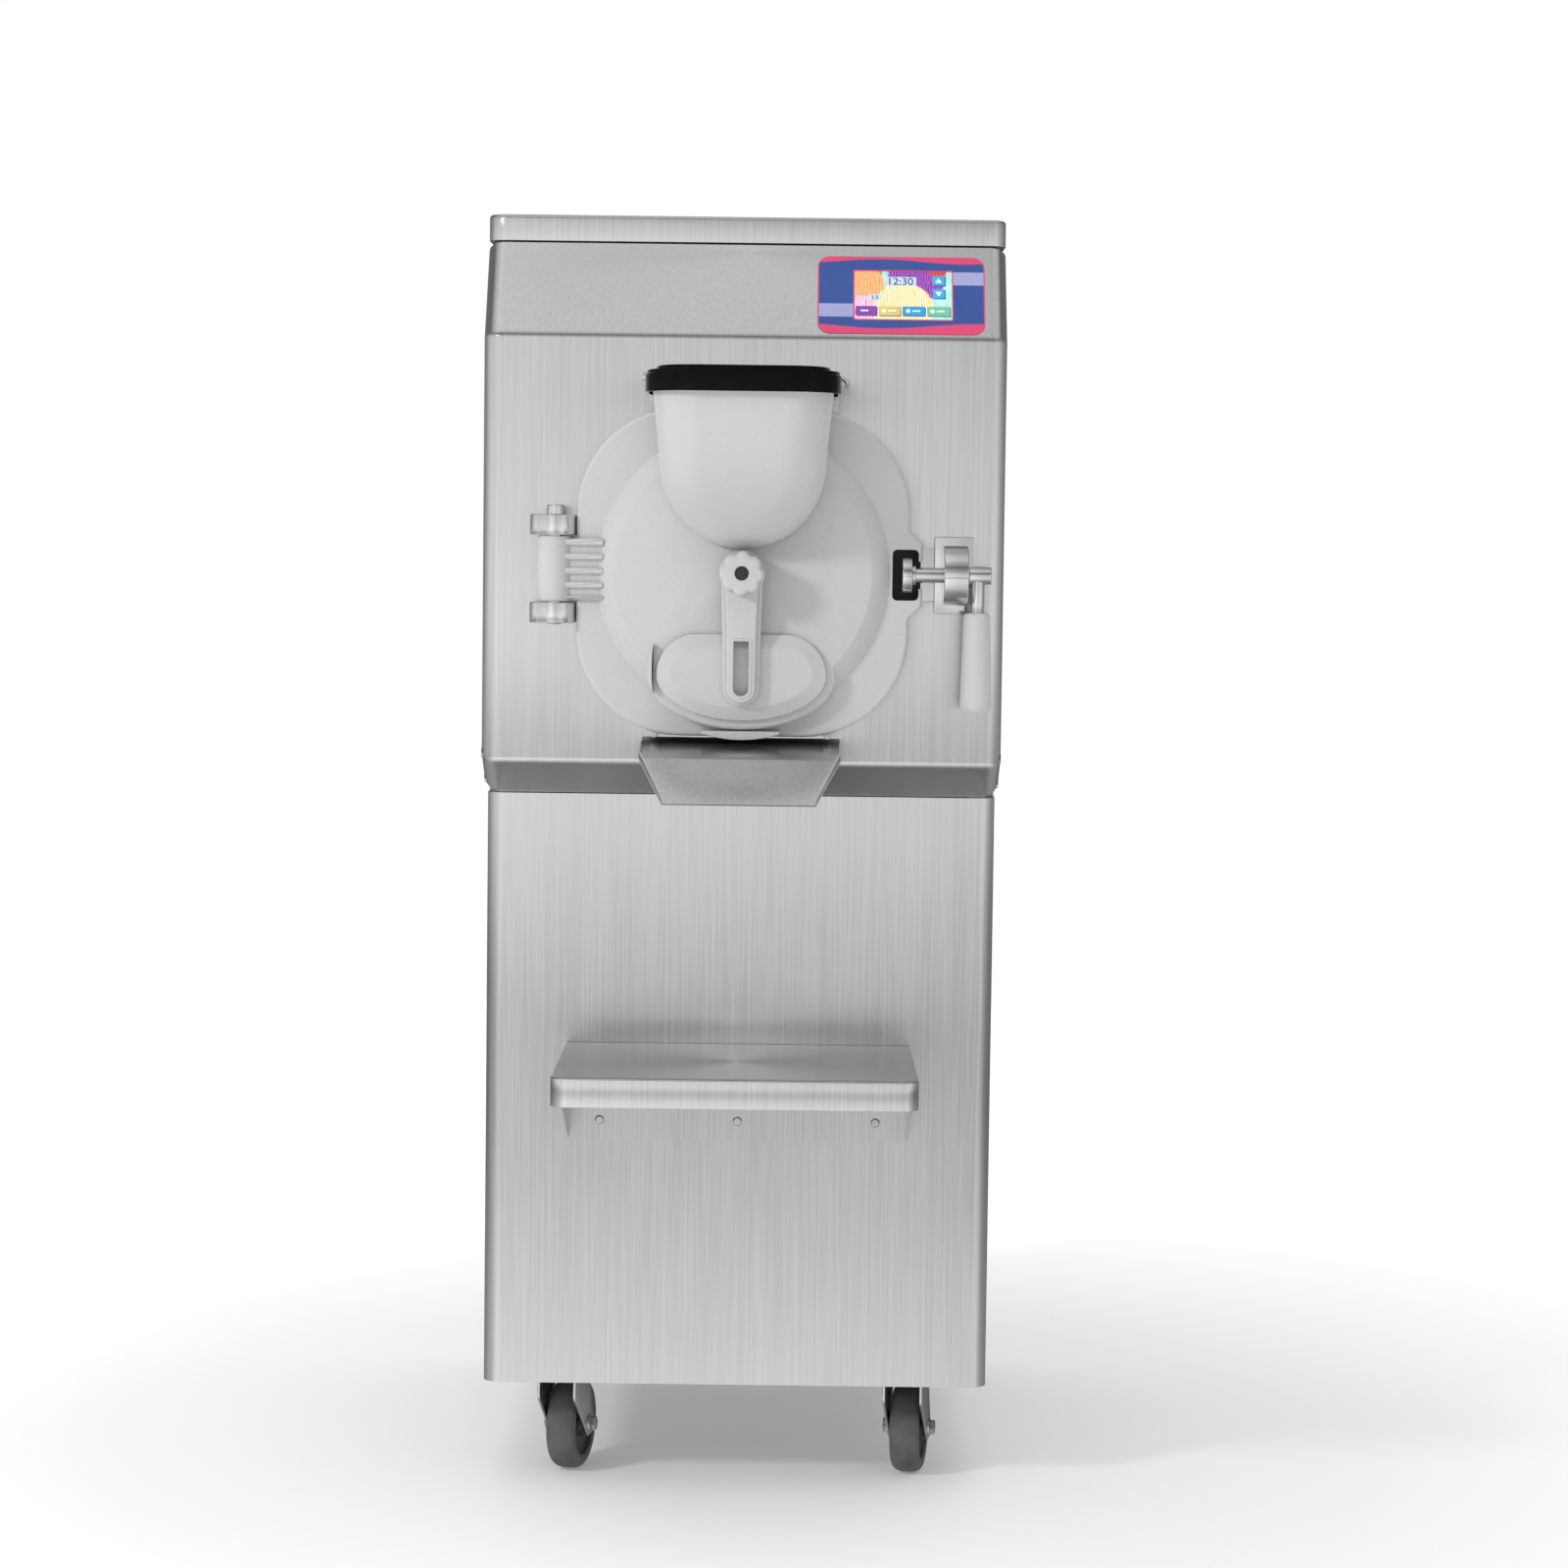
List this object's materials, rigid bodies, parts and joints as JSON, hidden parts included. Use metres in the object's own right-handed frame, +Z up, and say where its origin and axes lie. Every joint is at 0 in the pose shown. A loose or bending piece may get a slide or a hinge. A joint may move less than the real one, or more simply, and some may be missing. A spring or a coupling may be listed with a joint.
{
  "type": "batch ice cream freezer",
  "caption": "Floor-standing batch ice cream machine in brushed steel, with a hinged white door, hopper, swinging outlet gate, latch, touch screen, tray shelf and casters.",
  "frame": {"origin": "on the floor, under the middle of the whole machine's box", "axes": "+Z up, front towards -Y, +X to the right as seen from the front"},
  "size_m": [0.54, 0.907, 1.346],
  "materials": {
    "satin_steel": "satin brushed stainless sheet, upright grain",
    "frame_steel": "mill-finish square tube and sheet",
    "polished_steel": "polished stainless",
    "zinc_steel": "zinc-plated pressed steel",
    "white_plastic": "smooth white food-grade plastic",
    "hopper_plastic": "milky translucent moulded plastic",
    "black_plastic": "glossy black moulded plastic",
    "dark_plastic": "matte black moulded plastic",
    "black_rubber": "soft black seal rubber",
    "grey_tyre": "grey non-marking rubber",
    "overlay_film": "printed polyester film, blue with a pink border",
    "screen_glass": "touch glass with a colour display behind it",
    "copper": "bare copper tube",
    "foam": "rigid insulation foam",
    "motor_paint": "semi-gloss machine enamel",
    "black_paint": "black enamel",
    "fin_aluminium": "bare aluminium fins",
    "cast_grey": "machined grey iron"
  },
  "bodies": {
    "root": {"frame_posts": "frame_steel", "frame_rails": "frame_steel", "base_pan": "frame_steel", "lower_front_panel": "satin_steel", "upper_front_panel": "satin_steel", "left_side_panel": "satin_steel", "right_side_panel": "satin_steel", "rear_panel": "satin_steel", "top_cover": "satin_steel", "control_overlay": "overlay_film", "touch_screen": "screen_glass", "display_module": "dark_plastic", "electrical_box": "frame_steel", "cord_gland": "dark_plastic", "freezing_cylinder": "polished_steel", "cooling_coil": "copper", "insulation": "foam", "shaft_seal": "black_rubber", "bearing_housing": "cast_grey", "shaft_bearings": "polished_steel", "drive_belts": "black_rubber", "drive_motor": "motor_paint", "compressor": "black_paint", "condenser": "fin_aluminium", "fan_shroud": "black_paint", "fan_motor": "black_paint", "refrigerant_lines": "copper", "hinge_blocks": "polished_steel", "hinge_pin": "polished_steel", "latch_post": "polished_steel", "chute": "satin_steel", "tray_shelf": "satin_steel", "fasteners": "polished_steel", "caster_plates": "zinc_steel"},
    "door": {"door": "white_plastic", "door_gasket": "black_rubber", "hopper": "hopper_plastic", "lid_rod": "polished_steel", "gate_stud": "polished_steel"},
    "lid": {"hopper_lid": "black_plastic"},
    "gate": {"gate_plate": "white_plastic", "gate_arm": "white_plastic"},
    "knob": {"star_knob": "white_plastic"},
    "latch": {"latch_shaft": "polished_steel", "latch_lever": "polished_steel", "latch_grip": "white_plastic"},
    "beater": {"beater_shaft": "polished_steel", "beater_frame": "polished_steel", "scraper_blades": "white_plastic", "driven_pulley": "cast_grey"},
    "motor_rotor": {"motor_pulley": "cast_grey"},
    "fan": {"fan_blades": "fin_aluminium"},
    "fork_front_left": {"caster_fork_front_left": "zinc_steel"},
    "wheel_front_left": {"caster_wheel_front_left": "grey_tyre"},
    "fork_front_right": {"caster_fork_front_right": "zinc_steel"},
    "wheel_front_right": {"caster_wheel_front_right": "grey_tyre"},
    "fork_rear_left": {"caster_fork_rear_left": "zinc_steel"},
    "wheel_rear_left": {"caster_wheel_rear_left": "grey_tyre"},
    "fork_rear_right": {"caster_fork_rear_right": "zinc_steel"},
    "wheel_rear_right": {"caster_wheel_rear_right": "grey_tyre"}
  },
  "joints": [
    {"name": "door_hinge", "type": "hinge", "parent": "root", "child": "door", "pos_m": [-0.192, -0.2805, 0.976], "axis": [0, 0, -1], "range_deg": [0, 110]},
    {"name": "lid_hinge", "type": "hinge", "parent": "door", "child": "lid", "pos_m": [0, -0.3125, 1.173], "axis": [-1, 0, 0], "range_deg": [0, 95]},
    {"name": "gate_pivot", "type": "hinge", "parent": "door", "child": "gate", "pos_m": [0, -0.3065, 0.976], "axis": [0, -1, 0], "range_deg": [0, 70]},
    {"name": "knob_turn", "type": "hinge", "parent": "door", "child": "knob", "pos_m": [0, -0.3365, 0.976], "axis": [0, -1, 0], "continuous": true},
    {"name": "latch_turn", "type": "hinge", "parent": "root", "child": "latch", "pos_m": [0.2175, -0.2845, 0.976], "axis": [-1, 0, 0], "range_deg": [0, 120]},
    {"name": "beater_spin", "type": "hinge", "parent": "root", "child": "beater", "pos_m": [0, 0.1335, 0.976], "axis": [0, 1, 0], "continuous": true},
    {"name": "motor_spin", "type": "hinge", "parent": "root", "child": "motor_rotor", "pos_m": [0, 0.1335, 0.64], "axis": [0, 1, 0], "continuous": true},
    {"name": "fan_spin", "type": "hinge", "parent": "root", "child": "fan", "pos_m": [0, 0.3035, 0.325], "axis": [0, 1, 0], "continuous": true},
    {"name": "swivel_front_left", "type": "hinge", "parent": "root", "child": "fork_front_left", "pos_m": [-0.185, -0.1265, 0.112], "axis": [0, 0, 1], "continuous": true},
    {"name": "roll_front_left", "type": "hinge", "parent": "fork_front_left", "child": "wheel_front_left", "pos_m": [-0.17825, -0.09727, 0.049], "axis": [0.9744, -0.225, 0], "continuous": true},
    {"name": "swivel_front_right", "type": "hinge", "parent": "root", "child": "fork_front_right", "pos_m": [0.185, -0.1265, 0.112], "axis": [0, 0, 1], "continuous": true},
    {"name": "roll_front_right", "type": "hinge", "parent": "fork_front_right", "child": "wheel_front_right", "pos_m": [0.19021, -0.09696, 0.049], "axis": [0.9848, -0.1736, 0], "continuous": true},
    {"name": "swivel_rear_left", "type": "hinge", "parent": "root", "child": "fork_rear_left", "pos_m": [-0.185, 0.3435, 0.112], "axis": [0, 0, 1], "continuous": true},
    {"name": "roll_rear_left", "type": "hinge", "parent": "fork_rear_left", "child": "wheel_rear_left", "pos_m": [-0.18918, 0.37321, 0.049], "axis": [0.9903, 0.1392, 0], "continuous": true},
    {"name": "swivel_rear_right", "type": "hinge", "parent": "root", "child": "fork_rear_right", "pos_m": [0.185, 0.3435, 0.112], "axis": [0, 0, 1], "continuous": true},
    {"name": "roll_rear_right", "type": "hinge", "parent": "fork_rear_right", "child": "wheel_rear_right", "pos_m": [0.18814, 0.37334, 0.049], "axis": [0.9945, -0.1045, 0], "continuous": true}
  ],
  "couplings": [
    {"joint": "motor_spin", "follows": "beater_spin", "ratio": 3.0896}
  ]
}
